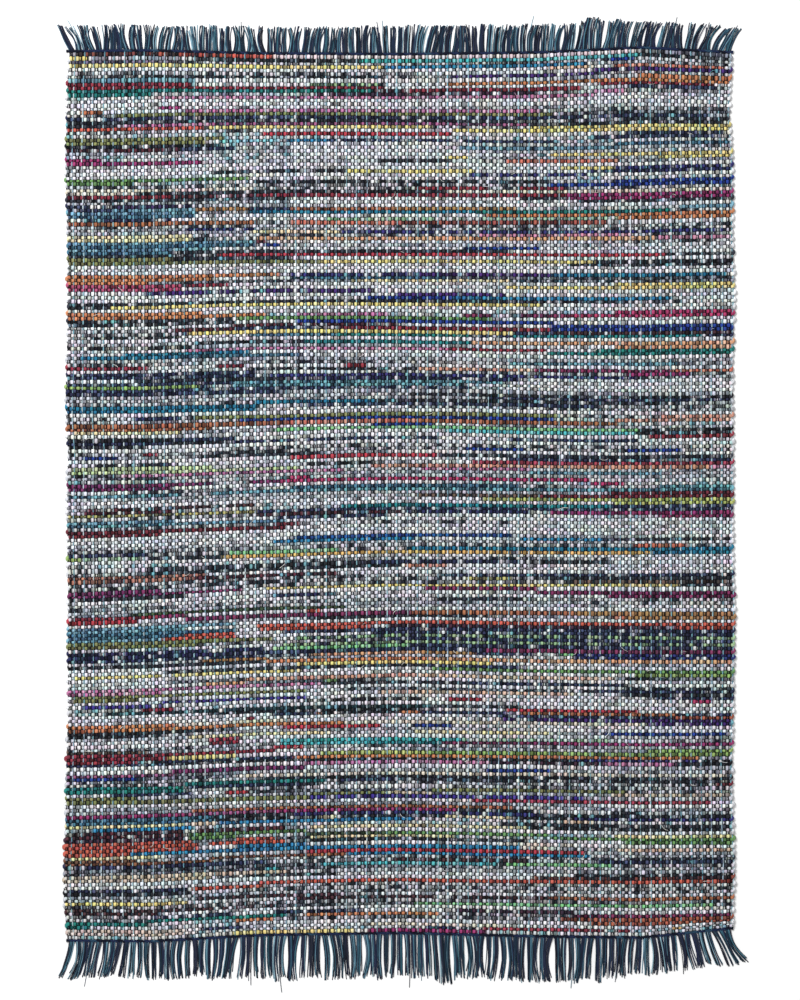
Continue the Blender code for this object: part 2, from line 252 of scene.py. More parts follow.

# %% [markdown]
# ## The weaver's log
# The strips that stand out were read off the rug, row by row.  The log
# lists them by cloth: 4.18-27 is a strip in pick 4, counted from the near end,
# that runs from warp 18 to warp 27, and a missing warp stands for a selvedge.
# What the log leaves open is woven with white and grey rags, in the order in
# which the weft runs: to the right in one pick and back in the next.

# %% The strips that stand out: cloth, then pick.warp-warp
LOG = """
aqua_mix: 123.-30 132.-33 132.43- 133.175- 163.49-117 164.49-128 170.131-180
beige: 17.-42 18.-64 41.94-107 41.161-
beige_pink: 1.-34 2.-34
black: 13.-36 17.45-79 17.150- 27.72-135 31.136- 34.50-68 46.64- 60.-27 61.-49 66.42-108 67.109-133 81.-16
  94.71-127 102.-34 105.39-61 110.24-89 110.136-160 117.159- 137.11-28 138.-15 146.-22 147.31-48 148.-30
  149.169- 158.91-181 160.102- 168.54-103 176.36-69 182.-49 199.148- 200.156- 221.20-111 224.54-142
  227.43-81 235.-45 241.143-194 255.22-93
black_mix: 69.70-106 140.71-92 150.169- 175.-36 178.1-33
brown: 22.-42 23.-20 23.42-71
brown_mix: 55.-23 104.150-194 130.103-139
brown_orange: 10.143- 23.72-82 37.37-131 65.134-179 95.102-149 151.-42 152.-62 152.104-162 212.-55 216.66-95
charcoal: 22.156- 32.128- 45.98- 65.75-97 71.165- 72.135-156 73.165- 74.75-118 79.29-106 81.17-58 99.108-133
  103.181- 105.135- 109.24-98 113.21-44 141.8-30 142.110- 143.39-74 144.44-66 165.20-64 183.-48 230.90-112
  242.166-192
coral: 94.161-164 115.168-182 152.63-103 168.179- 212.66-96 230.130-162 257.162-194
coral_dark: 212.97-159
cream: 2.89-127 25.134-142 26.128-149 47.50-194
cream_big: 33.37-43 34.75-79
cream_yellow: 24.2-27 28.72-114 31.72-135 33.-34 34.112-131 59.36-77 59.103-142 150.2-33 194.84-130 207.-36
  208.-36 209.54-80
crimson: 1.163-166 52.-20 53.-29 54.-61 57.42-50 64.53-55 68.22-31 69.112-122 96.1-26 144.22-26 148.172-
  169.-23 169.44-52 169.82-88 174.113-141 180.81-142 193.36-47 220.-30 220.56-147 222.103-123 222.134-146
  251.101-151 252.-93 252.157-191 253.-36
crimson_dark: 44.192- 120.-27 121.-64 122.61-68 130.140- 131.160-
crimson_red: 24.71-152 42.47-53 55.61-69 61.64-92 66.130-168 95.-20 142.66-109 202.45-176 238.58-113
crimson_rose: 1.123-158 39.120-190 58.42-50 140.120-
cyan_blue: 23.83-154 25.19-133 26.50-70 32.8-36 33.45-102 117.61-102 117.134-158 189.114-178 236.65-77
  258.94-153
gold: 1.179-181 113.46-130 113.134-172
green: 27.165- 28.143- 29.36-49 29.94-142 30.36-70 75.76-79 78.108- 183.50-125 224.-19 225.-53
green_dark: 29.70-93 97.19-82
grey_mix: 72.80-133 244.146-
grey_white: 178.-0
hot_pink: 69.184-190 134.155-164 135.63-154 136.66-71 184.149- 185.162-
indigo: 34.150- 35.67-138 51.150-186 166.56-167 196.66-103 209.81-194 210.35-55 226.119-153 228.162-
indigo_dark: 1.106-120 101.59-79 125.99-136 154.20-33 227.154-
indigo_violet: 40.72-152 69.4-27 70.28-70
light_blue_mix: 89.-27 92.-34 93.-49 123.31-64 124.-31 137.137-175 204.-42 206.-55 215.-37 216.14-37
  216.181- 234.116-162 253.37-37 254.-37
light_cyan: 236.45-62
lilac_dark: 259.1-30
lime: 53.107- 54.172- 77.168- 113.-3 163.-38
lime_mix: 86.64- 88.68- 253.72-93
lime_pale: 139.1-68 140.1-42
lime_yellow: 53.75-106 128.162- 129.123-
magenta: 0.89-123 36.-34 36.61-114 56.146- 96.27-34 125.143- 167.166-184 219.148- 220.148- 230.-39 231.-10
  246.27-33
magenta_dark: 5.150- 56.111-145 84.124- 95.35-101 102.106-138 124.175- 168.138-178 184.117-125 184.134-148
magenta_deep: 100.160- 101.139-
maroon: 30.-34 31.-34 31.39-64 107.38-79 125.56-98 127.5-30 128.6-19 180.31-49 181.49-98 206.56-58 220.31-55
  234.-33 251.91-100
maroon_brown: 7.-27 8.-61 10.67-142 11.39-79 21.96-135 128.20-55 179.144-
mint: 8.103-190 20.130-160 83.146-149 85.61-100 114.48-79 150.61-168
mint_mix: 57.117-164 113.5-20 213.77-162
navy: 2.40-53 6.25-49 6.61-86 14.-36 21.-57 21.156- 42.13-36 44.36-68 45.81-96 51.-27 52.29-66 70.172-
  72.157- 74.119-164 79.107-135 85.101- 87.95- 89.90- 90.64- 106.111- 110.90-135 114.-23 124.62-94 126.56-
  127.161- 141.130- 147.-30 147.49-109 147.131-168 148.31-49 157.66-155 159.124- 161.-62 162.-119 166.-55
  167.-55 213.4-30 216.-13 216.54-65 217.-13 234.34-49 236.78-143 237.156- 238.165-194 243.-194 251.166-192
navy_indigo: 83.-20 84.-43 85.-57 165.66-133
ochre: 82.40-59 83.105-120 94.165- 95.150- 216.38-53 216.96-132
olive: 40.-71 41.-20 41.72-93 42.108-164 71.1-20 72.1-70 87.-38 88.-60 154.38-144 200.-74 201.-30 236.-40
  237.-46 244.15-143
olive_yellow: 105.118-131 126.-55
orange: 4.50-60 5.70-109 52.67-186 62.-81 63.-31 65.74-74 65.98-104 81.59-106 184.-58 185.-39 194.-23
  195.-42 196.-62 213.163- 214.124- 245.4-10 253.112- 254.169-
orchid: 50.70-124 50.159-179 73.-27 74.-74 138.16-81 138.105-136 174.35-112 184.68-94 241.16-42 245.34-139
  249.26-155 250.156-164
orchid_dark: 36.35-60 48.-31 241.43-136
peach: 25.163- 33.147-155 71.92-149 76.104-161 257.142-155
peach_brown: 107.-37 108.-40
peach_orange: 75.40-52 81.107- 83.72-104 175.162- 176.120- 207.56-173
pink: 139.190- 207.175- 208.122-166
pink_white: 261.61-168
plum: 49.31-70 103.-51 104.-27 134.-30 135.-42 135.54-62
plum_dark: 6.115-149 29.-34 50.125-158 91.95-179 250.72-136
purple: 62.172- 63.129- 190.96-130 191.23-90 196.104-142 255.114-155 256.156-
purple_dark: 217.14-36
red_orange: 14.37-57 15.57- 25.-18 26.-38 27.-38 27.42-64 28.-36 28.50-61 89.28-49 90.35-49 91.57-89 91.180-
  92.56- 96.71-74 240.-39 261.48-60
red_orange_dark: 261.27-47
rose: 192.-33 193.-33
royal: 47.2-20 48.124-142 59.159-194 61.102-113 143.4-14 144.118-134 144.166-181 151.90-107 153.51-143
  180.143- 181.143- 182.68-143 189.88-113 204.117-139 205.58-62 223.142- 224.162- 259.160-167
royal_cyan: 118.67-131
royal_dark: 82.150- 83.150-
rust: 3.155- 4.146- 64.179-
rust_dark: 16.138- 261.2-26
salmon: 76.53-103 109.100-112 139.90-148 153.162- 154.175- 168.104-136
salmon_big: 139.149-189
speckled: 111.66-160 114.24-45 115.-45 179.-31 180.-30 242.133-165
steel_blue: 34.-42 35.-42 90.-34 91.-49 133.66-133 172.33-68 178.54-79 195.66-112 203.-30 205.-55 214.-37
  235.162-
teal: 56.92-110 127.81-160 176.70-119 178.132-187
teal_blue: 113.173- 114.100- 156.-55 157.-55 158.56-90 172.4-32 173.17-53 196.143-194 215.54-120
teal_dark: 67.11-108 194.131-168
teal_green: 3.-6 4.-23 5.24-64 43.-34 44.-34 45.35-76 173.142- 174.156- 178.80-118 215.121-178 250.-24
  251.-90
teal_light: 19.59-62 20.75-126 149.112-168 260.131-168
turquoise: 56.63-91 57.63-116 260.87-130
white: 2.155- 26.71-115 42.-12 42.37-45 63.66-125 64.-52 64.56-125 65.-60 66.-41 75.-39 76.-30 110.161-
  111.161- 112.- 122.131- 162.131- 163.131- 164.131- 165.134- 187.141- 201.66-133 203.131- 217.66-
  218.66-150 219.66-133 228.60-80 229.66-133 231.66-111 232.66-133 233.66-120 234.66-110 235.66-118 243.195-
white_big: 24.37-46 26.39-48 36.138-160 43.74-113 83.138-144 199.1-42
yellow: 0.49-84 10.-35 53.30-49 78.2-27 78.31-68 80.68-125 103.59-180 179.36-131 187.13-139 192.130-
  193.162- 200.75-94 227.83-120 228.146-161 231.112-118 231.175- 232.143- 239.114- 240.42-107 240.137-
  258.-93 260.-5
yellow_pale: 29.162-
yellow_thin: 200.95-155
"""


def read_log(text):
    """A whole-number cloth for each pick and warp, -1 where the log says nothing."""
    cloth = np.full((PICKS, WARPS), -1)
    for word in text.split():
        if word.endswith(":"):
            kind = RAG_NAMES.index(word[:-1])
            continue
        pick, span = word.split(".")
        first, last = span.split("-")
        cloth[int(pick), int(first or 0):int(last or WARPS - 1) + 1] = kind
    return cloth


logged = read_log(LOG)
print("the log fills", round(float((logged >= 0).mean()), 3), "of the crossings")

# %% The plain rags between them
PLAIN = [
    ("white", 0.50), ("grey_white", 0.14), ("speckled", 0.13), ("pale_print", 0.07),
    ("grey_mix", 0.06), ("black", 0.02), ("navy", 0.02), ("cream", 0.03), ("charcoal", 0.03),
]
rng = np.random.default_rng(41)
lengths = rng.uniform(60, 420, 900).astype(int)
kinds = rng.choice([RAG_NAMES.index(n) for n, _ in PLAIN], 900, p=[s for _, s in PLAIN])
woven_order = np.repeat(kinds, lengths)[:PICKS * WARPS].reshape(PICKS, WARPS)
woven_order[1::2] = woven_order[1::2, ::-1]
cloth_at = np.where(logged >= 0, logged, woven_order)

# %% Dark strips let their neighbours show
DARK_CLOTH = 0.06        # a cloth less light than this is dark
MENDS = [("white", 0.30), ("grey_white", 0.30), ("aqua_mix", 0.22), ("pale_print", 0.18)]
is_dark = (rag_main @ GREY_OF)[cloth_at] < DARK_CLOTH
run_start = rng.uniform(size=(PICKS, WARPS)) < 0.85
run_number = np.cumsum(run_start, axis=1)
mended = rng.uniform(size=(PICKS, WARPS)) < 0.15
mend_kind = rng.choice([RAG_NAMES.index(n) for n, _ in MENDS], (PICKS, WARPS), p=[s for _, s in MENDS])
rows_of = np.arange(PICKS)[:, None]
mended, mend_kind = mended[rows_of, run_number], mend_kind[rows_of, run_number]
cloth_at = np.where(is_dark & mended, mend_kind, cloth_at)
print("dark crossings", round(float(is_dark.mean()), 3), "of them mended", round(float(mended.mean()), 3))
print("plain strips in the weft:", int(np.searchsorted(np.cumsum(lengths), PICKS * WARPS)))

# %% [markdown]
# ## Where the strands cross
# On a loom every pick crosses every warp, so a few tables with a row for each
# pick and a column for each warp hold the whole cloth: where a crossing lies,
# and which strand is on top.  Thick strips push their neighbours apart and
# thin ones let them close up, so the rows are laid by adding up the strips'
# thicknesses.  The warps keep their places but for a little wander.

# %% How hard each row was beaten
BEAT_AT = np.array([-0.703, -0.512, -0.320, -0.129, 0.063, 0.255, 0.446, 0.662])
# mm by which the row lies further up at each place, by even steps from the near end
BEAT = numbers("""
    0 0 0 0 0 0 0 0   0 -2 -2 0 1 2 2 2   -2 -1 -1 0 0 0 1 3
    -2 -2 -1 2 2 0 -1 -1   -1 -1 0 2 2 -1 -2 -3   2 0 -1 0 0 -1 -1 -1
    0 -1 1 2 2 1 0 0   -3 -2 2 2 2 1 0 0   -1 -1 0 2 2 1 0 -1
    -1 0 2 2 3 -1 -2 -1   0 0 0 0 2 0 -1 -2   -4 -2 0 0 1 1 0 -1
    -5 -3 0 1 1 1 2 2   5 2 0 2 2 1 -1 0   0 2 1 2 1 0 -2 -1
    -4 -2 0 1 1 -1 -2 -1   -4 -4 -2 0 0 -1 -3 -3   -2 -2 -1 3 3 -1 -3 -1
    2 3 1 3 4 4 1 -1   0 2 1 1 1 0 -2 -2   -2 0 1 0 -1 -2 -2 -2
    -4 -1 1 2 0 0 0 1   -2 -1 1 1 2 3 2 2   -2 0 0 0 1 2 1 1
    -3 -1 -2 -3 -3 -2 -2 0   -2 -2 -2 -3 -2 -2 -1 1   -3 -2 -1 0 -1 -2 -2 -1
    -5 -3 0 1 1 -3 -4 -2   -6 -2 0 0 -1 -3 -3 -2   -7 -5 -3 -2 -1 0 0 -1
    0 0 0 0 0 0 0 0
""", len(BEAT_AT))
BEAT = np.column_stack([np.round(np.linspace(0, 1, len(BEAT)), 3), BEAT])
print("rows lie up to", int(abs(BEAT[:, 1:]).max()), "mm off an even beat")

# %% Rows: the picks laid against each other
WEFT_SEED = 7
rng = np.random.default_rng(WEFT_SEED)


def slow_noise(shape, axis, times):
    """Random numbers smoothed along one axis and brought back to a spread of one."""
    values = smooth(rng.normal(size=shape), axis, times)
    return values / values.std()


GRID = (PICKS, WARPS)
strip = rag_thickness[cloth_at]
PUSH = 0.55              # share of a strip's extra thickness that moves the next row
ALONG, BY_ROW = 0.08, 0.12   # how unevenly a row is beaten along it, and from row to row
grow = 1 + PUSH * (smooth(strip, 1, 4) - 1) + ALONG * slow_noise(GRID, 1, 60)
grow += BY_ROW * rng.normal(size=(PICKS, 1))
grow = np.clip(grow, 0.45, 1.9)
grow /= smooth(grow, 0, 6)
edge = np.vstack([np.zeros((1, WARPS)), np.cumsum(grow, axis=0)])
edge *= PICKS / edge[-1]
drift = edge - np.arange(PICKS + 1)[:, None]
print("a row lies at most", round(float(abs(drift).max()), 2), "picks from its even place")

# %% Columns: the warps, which stand out and in with the selvedges
WARP_SPAN = HALF_WIDTH - 0.0028
across = (np.arange(WARPS) + 0.5) * 2 / WARPS - 1
even_x = across * WARP_SPAN
edge_y = cloth_y(edge / PICKS, even_x[None, :]) + MIDDLE[1]
edge_y = edge_y + read_table(BEAT, BEAT_AT, edge / PICKS, even_x[None, :]) * MM
cross_y = 0.5 * (edge_y[1:] + edge_y[:-1])
pick_wide = edge_y[1:] - edge_y[:-1]

row_share = (np.arange(PICKS) + 0.5) / PICKS
left_out = np.interp(row_share, SELVEDGES[:, 0], SELVEDGES[:, 1]) * MM
right_out = np.interp(row_share, SELVEDGES[:, 0], SELVEDGES[:, 2]) * MM
stand_out = np.where(across < 0, -left_out[:, None], right_out[:, None])
cross_x = even_x + stand_out * np.abs(across) ** 6 + MIDDLE[0]
cross_x = cross_x + 0.0004 * rng.normal(size=(1, WARPS)) + 0.0004 * slow_noise(GRID, 0, 30)
PITCH = 2 * WARP_SPAN / WARPS
weft_on_top = (np.arange(PICKS)[:, None] + np.arange(WARPS)[None, :]) % 2 == 0
print("warp pitch", round(PITCH / MM, 2), "mm, mean pick", round(float(pick_wide.mean()) / MM, 2), "mm")

# %% Thickness and colour of the weft at each crossing
joins = np.zeros(GRID)
joins[:, 1:] = cloth_at[:, 1:] != cloth_at[:, :-1]
lump = smooth(joins * (rng.uniform(size=GRID) < 0.35), 1, 1)
fat = np.clip(strip * (1 + 0.9 * lump) * (1 + 0.12 * rng.normal(size=GRID)), 0.55, 1.80)

shows_second = rng.uniform(size=GRID) < rag_share[cloth_at]
weft_colour = np.where(shows_second[..., None], rag_second[cloth_at], rag_main[cloth_at])
cast = 0.04 * np.stack([slow_noise(GRID, 1, 12) for _ in range(3)], axis=-1)
cast += 0.03 * rng.normal(size=GRID + (3,))
turned_in = rng.uniform(size=GRID) < 0.10
brightness = rng.triangular(0.62, 1.02, 1.16, GRID) * np.where(turned_in, 0.30, 1.0)
weft_colour = weft_colour * brightness[..., None] * (1 + cast)
print("lumps where strips join:", int((lump > 0.4).sum()))

# %% [markdown]
# ## Strands as tubes
# Every strand of the rug is a tube: rings of a few points, one after the
# other along the strand, joined by four-sided faces and closed by a cap at
# each end.  There are some 110,000 rings, so a ring has only three to five
# points, and smooth shading rounds them.  One function turns an array of rings
# into a mesh.  It also lays two UV maps: one measures metres along the strand,
# for folds and twist, and one keeps each strand on a lane of its own.

# %% What the strands share
LANE_MARGIN = 0.08       # share of a lane left free on both sides


def starts_of(strand):
    """True at the first ring of each strand."""
    return np.concatenate([[True], strand[1:] != strand[:-1]])


def leftwards(way):
    """A quarter turn to the left of a level direction: (x, y) becomes (-y, x)."""
    return np.stack([-way[:, 1], way[:, 0]], axis=1)


def measured(path, strand):
    """Metres run along each strand: lengths between neighbouring points added up."""
    steps = np.linalg.norm(np.diff(path, axis=0, prepend=path[:1]), axis=1)
    return np.cumsum(steps * ~starts_of(strand))


def headings(path, strand):
    """Unit directions along the strands, level with the ground: next point less the one before."""
    starts = starts_of(strand)
    ends = np.roll(starts, -1)
    ahead = np.where(ends[:, None], path, np.roll(path, -1, axis=0))
    behind = np.where(starts[:, None], path, np.roll(path, 1, axis=0))
    way = (ahead - behind)[:, :2]
    return way / np.maximum(np.linalg.norm(way, axis=1, keepdims=True), 1e-9)


def lay_map(mesh, name, u, v):
    """A UV map from the two numbers of every face corner."""
    layer = mesh.uv_layers.new(name=name)
    layer.uv.foreach_set("vector", np.stack([u, v], axis=1).astype(np.float32).ravel())


def lay_tint(mesh, colour):
    """The colour of every point, kept for the material."""
    rgba = np.ones((len(mesh.vertices), 4), np.float32)
    rgba[:, :3] = np.clip(colour, 0, 1)
    tint = mesh.color_attributes.new("tint", "FLOAT_COLOR", "POINT")
    tint.data.foreach_set("color", rgba.ravel())


print("a strand's own lane of the bake map is free on", LANE_MARGIN, "of its width at both sides")


# %% One mesh from an array of rings
def tube_mesh(name, rings, strand, colour, along, bake_u, bake_v, lane, dive=None):
    """A mesh of tubes.  rings is rings by sides by 3, a ring's points run left, top, right.

    colour is by point, or one to a ring: rings by 1 by 3.
    Faces join ring n to ring n + 1 where both belong to one strand:
    (n, j), (n, j + 1), (n + 1, j + 1), (n + 1, j).  Caps close each strand.
    """
    count, sides = rings.shape[:2]
    turn = np.arange(sides)
    starts = starts_of(strand)
    first, last = np.flatnonzero(starts), np.flatnonzero(np.roll(starts, -1))
    joined = np.flatnonzero(~starts) - 1
    ring = np.repeat((joined[:, None] + [0, 0, 1, 1])[:, None, :], sides, axis=1)
    rank = np.broadcast_to(turn[:, None] + [0, 1, 1, 0], ring.shape)
    cap_ring = np.repeat(np.concatenate([first, last]), sides)
    cap_rank = np.concatenate([np.tile(turn[::-1], len(first)), np.tile(turn, len(last))])
    loop_ring = np.concatenate([ring.ravel(), cap_ring])
    loop_rank = np.concatenate([rank.ravel(), cap_rank])
    totals = np.repeat([4, sides], [len(joined) * sides, 2 * len(first)])

    mesh = bpy.data.meshes.new(name)
    mesh.vertices.add(count * sides)
    mesh.vertices.foreach_set("co", rings.astype(np.float32).ravel())
    mesh.loops.add(len(loop_ring))
    mesh.loops.foreach_set("vertex_index", (loop_ring * sides + loop_rank % sides).astype(np.int32))
    mesh.polygons.add(len(totals))
    mesh.polygons.foreach_set("loop_start", (np.cumsum(totals) - totals).astype(np.int32))
    mesh.polygons.foreach_set("use_smooth", np.ones(len(totals), bool))
    mesh.update(calc_edges=True)

    around = loop_rank / sides
    lane_v = bake_v[loop_ring] + lane * (LANE_MARGIN + (1 - 2 * LANE_MARGIN) * around)
    lay_map(mesh, "strand", along[loop_ring], around)
    lay_map(mesh, "OFBake", bake_u[loop_ring], lane_v)
    lay_tint(mesh, np.broadcast_to(colour, rings.shape).reshape(-1, 3))
    if dive is not None:
        depth = mesh.attributes.new("dive", "FLOAT", "POINT")
        depth.data.foreach_set("value", np.repeat(dive, sides).astype(np.float32))
    mesh.validate()
    return mesh


def place(name, data):
    """An object in the scene that shows the data."""
    thing = bpy.data.objects.new(name, data)
    bpy.context.scene.collection.objects.link(thing)
    return thing


def add_piece(mesh, material, node):
    """Put a mesh in the scene as a piece that rides with the rug and stands for a node."""
    piece = place(mesh.name, mesh)
    piece.data.materials.append(material)
    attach(piece, "root")
    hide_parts(node)
    sizes = np.empty(len(mesh.polygons), np.int32)
    mesh.polygons.foreach_get("loop_total", sizes)
    print(piece.name, "triangles", int((sizes - 2).sum()))
    return piece

# %% [markdown]
# ## Finishes
# All the cotton here is dull: high roughness and hardly any gloss.  What makes
# it look like cloth is the small relief.  A rag strip is crumpled, so its
# height comes from folds that run along it and from a fine noise for the
# threads of the old cloth.  A spun yarn has slanting grooves instead, which
# are a wave read from the strand's own map.  The colours come with the mesh,
# with painted shade on the flanks of wefts and warps, and the material flecks
# them.  On the rag strips it also paints shade where a strip dives past a warp.

# %% A node material for cotton
def set_values(node, values):
    """Plain values on a node's own sockets."""
    for socket, value in values.items():
        node.inputs[socket].default_value = value


def new_node(tree, kind, values=None, **settings):
    """A node of a material with its settings and the values of its sockets."""
    node = tree.nodes.new("ShaderNode" + kind)
    for setting, value in settings.items():
        setattr(node, setting, value)
    set_values(node, values or {})
    return node


def cotton(name, groove_scale, groove_slant, groove_depth, fleck, roughness, dive_shade=None):
    """Cotton: the mesh's tint flecked by noise, bumped by grooves on the strand's map.

    The last argument holds the stops of a ramp of painted shade over how far
    the strip has dived, 0 on its back and 1 underneath: the place and how much
    of its colour the cloth keeps there.
    """
    material = bpy.data.materials.new(name)
    material.use_nodes = True
    tree = material.node_tree
    link = tree.links.new
    shader = tree.nodes["Principled BSDF"]
    set_values(shader, {"Roughness": roughness, "Specular IOR Level": 0.06,
                        "Sheen Weight": 0.03, "Sheen Roughness": 0.6})

    tint = new_node(tree, "Attribute", attribute_name="tint")
    coordinates = new_node(tree, "TexCoord")
    threads = new_node(tree, "TexNoise", {"Scale": 1100.0, "Detail": 3.0})
    link(coordinates.outputs["Object"], threads.inputs["Vector"])
    flecks = new_node(tree, "MapRange", {"From Min": 0.3, "From Max": 0.7,
                                         "To Min": 1.0 - fleck, "To Max": 1.0 + fleck})
    link(threads.outputs["Fac"], flecks.inputs["Value"])
    flecked = new_node(tree, "VectorMath", operation="SCALE")
    link(tint.outputs["Color"], flecked.inputs[0])
    link(flecks.outputs["Result"], flecked.inputs["Scale"])
    colour = flecked.outputs["Vector"]
    if dive_shade:
        dive = new_node(tree, "Attribute", attribute_name="dive")
        ramp = new_node(tree, "ValToRGB")
        stops = ramp.color_ramp.elements
        for place_on, light in dive_shade:
            stops.new(place_on).color = (light, light, light, 1)
        for end, light in ((stops[0], dive_shade[0][1]), (stops[-1], dive_shade[-1][1])):
            end.color = (light, light, light, 1)
        link(dive.outputs["Fac"], ramp.inputs["Fac"])
        shaded = new_node(tree, "VectorMath", operation="MULTIPLY")
        link(colour, shaded.inputs[0])
        link(ramp.outputs["Color"], shaded.inputs[1])
        colour = shaded.outputs["Vector"]
    link(colour, shader.inputs["Base Color"])

    strand = new_node(tree, "UVMap", uv_map="strand")
    slant = new_node(tree, "Mapping", {"Scale": (groove_scale, groove_slant, 1.0)})
    link(strand.outputs["UV"], slant.inputs["Vector"])
    grooves = new_node(tree, "TexWave", {"Scale": 1.0, "Distortion": 1.6, "Detail Scale": 1.2},
                       wave_type="BANDS", bands_direction="DIAGONAL")
    link(slant.outputs["Vector"], grooves.inputs["Vector"])
    fine = new_node(tree, "Bump", {"Strength": 0.5, "Distance": 0.0003})
    link(threads.outputs["Fac"], fine.inputs["Height"])
    coarse = new_node(tree, "Bump", {"Strength": 0.7, "Distance": groove_depth})
    link(grooves.outputs["Fac"], coarse.inputs["Height"])
    link(fine.outputs["Normal"], coarse.inputs["Normal"])
    link(coarse.outputs["Normal"], shader.inputs["Normal"])
    return material


# painted shade along a rag strip by how far it has dived: dark where it dives past a warp, a little dark
# underneath
RAG_DIVE_SHADE = ((0.32, 1.0), (0.42, 0.18), (0.68, 0.18), (0.80, 0.88))
rag_cotton = cotton("rag_cotton", 60.0, 2.0, 0.0006, 0.12, 0.92, RAG_DIVE_SHADE)
loose_cotton = cotton("loose_cotton", 60.0, 2.0, 0.0003, 0.12, 0.92)
warp_cotton = cotton("warp_cotton", 260.0, 1.0, 0.0003, 0.16, 0.88)
fringe_cotton = cotton("fringe_cotton", 260.0, 1.0, 0.0003, 0.16, 0.86)
print([m.name for m in (rag_cotton, loose_cotton, warp_cotton, fringe_cotton)])

# %% [markdown]
# ## The wefts
# One long weft is laid by arrays.  It has a ring at every crossing, high where
# it passes over a warp and low where it dives under one, and at a selvedge
# four more rings carry it round the last warp into the next pick.  A number
# for each ring, its pick times a thousand plus the way run in that pick, sorts
# all of them into the order of weaving.  How far each ring has dived is kept
# too, 0 on the back and 1 underneath, for the painted shade that the finish
# lays where the strip dives, and the low corners of each ring get painted shade.

# %% Rings over and under the warps
pick, warp = np.meshgrid(np.arange(PICKS), np.arange(WARPS), indexing="ij")
pick, warp = pick.ravel(), warp.ravel()
on_top = weft_on_top[pick, warp]
to_right = pick % 2 == 0
PER_PICK, AT_TURN = 1000.0, 300   # numbers of the weaving order: to a pick, and past its last warp
row_order = pick * PER_PICK + np.where(to_right, warp, WARPS - 1 - warp)
local_fat = fat[pick, warp]
HAND = 0.0003            # unevenness of a strip laid by hand
row_x = cross_x[pick, warp] + HAND * rng.normal(size=len(pick))
row_y = cross_y[pick, warp] + HAND * rng.normal(size=len(pick))
BACK, BACK_SWELL, DIVED = 0.0052, 0.0033, 0.0036   # tops: over a warp, more if fat, under one
FOOT, FOOT_DIVED = 0.0022, 0.0002
row_top = np.where(on_top, BACK + BACK_SWELL * local_fat, DIVED)
row_low = np.where(on_top, FOOT, FOOT_DIVED)
row_half = 0.5 * pick_wide[pick, warp] * np.where(on_top, 1.12 + 0.25 * (local_fat - 1), 0.90)
row_tint = weft_colour[pick, warp]
print("rings on the rows", len(pick))

# %% Points round the selvedges
TURN_ANGLES = np.radians([-62, -22, 22, 62])
TURN_HALF = 0.0037
TURN_TOP, TURN_FALL = 0.0078, 0.0022         # a turn runs down from one row to the next
TURN_LOW, TURN_SINK = 0.0022, 0.0018
TURN_DIVE = 0.2
upper = np.repeat(np.arange(PICKS - 1), 4)
step = np.tile(np.arange(4), PICKS - 1)
turns_right = upper % 2 == 0
last_warp = np.where(turns_right, WARPS - 1, 0)
outward = np.where(turns_right, 1.0, -1.0)
bulge = np.repeat(rng.uniform(0.0006, 0.0046, PICKS - 1), 4)
bulge += 0.0080 * np.clip(strip[upper, last_warp] - 0.92, -0.10, 0.4)
half_gap = 0.22 * (pick_wide[upper, last_warp] + pick_wide[upper + 1, last_warp])
angle = TURN_ANGLES[step]
turn_x = cross_x[upper, last_warp] + outward * (0.0022 + bulge * np.cos(angle))
turn_y = edge_y[upper + 1, last_warp] + half_gap * np.sin(angle)
part_way = (step + 1) / 5
falling = np.where(turns_right, part_way, 1 - part_way)
turn_top = TURN_TOP - TURN_FALL * falling
turn_low = TURN_LOW - TURN_SINK * falling
turn_half = TURN_HALF * np.clip(fat[upper, last_warp], 0.8, 1.3)
turn_tint = rag_main[cloth_at[upper, last_warp]] * np.repeat(rng.uniform(0.9, 1.08, PICKS - 1), 4)[:, None]
print("points round the selvedges", len(upper))

# %% One weft, cut into three pieces along the rug
order = np.argsort(np.concatenate([row_order, upper * PER_PICK + AT_TURN + step]), kind="stable")


def woven(on_rows, at_turns):
    """Values of the rows and of the turns in the order of weaving."""
    return np.concatenate([on_rows, at_turns])[order]


weft_x, weft_y = woven(row_x, turn_x), woven(row_y, turn_y)
weft_top, weft_low = woven(row_top, turn_top), woven(row_low, turn_low)
weft_half, weft_tint = woven(row_half, turn_half), woven(row_tint, turn_tint)
weft_pick = woven(pick, upper + part_way)
is_high = woven(on_top, np.ones(len(upper), bool))
weft_dive = woven(np.where(on_top, 0.0, 1.0), np.full(len(upper), TURN_DIVE))

SHOULDER = 0.84          # half the flat back of a strip, next to half its foot
LOW_SHADE = 0.15         # painted shade: share of its colour kept on a strip's low flanks
centre = np.stack([weft_x, weft_y, 0.5 * (weft_top + weft_low)], axis=1)
one_strand = np.zeros(len(centre), int)
heading = headings(centre, one_strand)
left = leftwards(heading) * weft_half[:, None]
rings = np.empty((len(centre), 4, 3))
for corner, sideways in enumerate((1.0, SHOULDER, -SHOULDER, -1.0)):
    rings[:, corner, :2] = centre[:, :2] + sideways * left
    rings[:, corner, 2] = weft_top if corner in (1, 2) else weft_low
TILT = 0.0004
tilt = TILT * rng.normal(size=len(centre)) * is_high
rings[:, 1, 2] += tilt
rings[:, 2, 2] -= tilt
# painted shade: the two low corners of every ring keep LOW_SHADE of the colour
tints = weft_tint[:, None, :] * np.array([LOW_SHADE, 1.0, 1.0, LOW_SHADE])[None, :, None]
weft_run = measured(centre, one_strand)
print("the weft is", round(float(weft_run[-1]), 1), "m long")

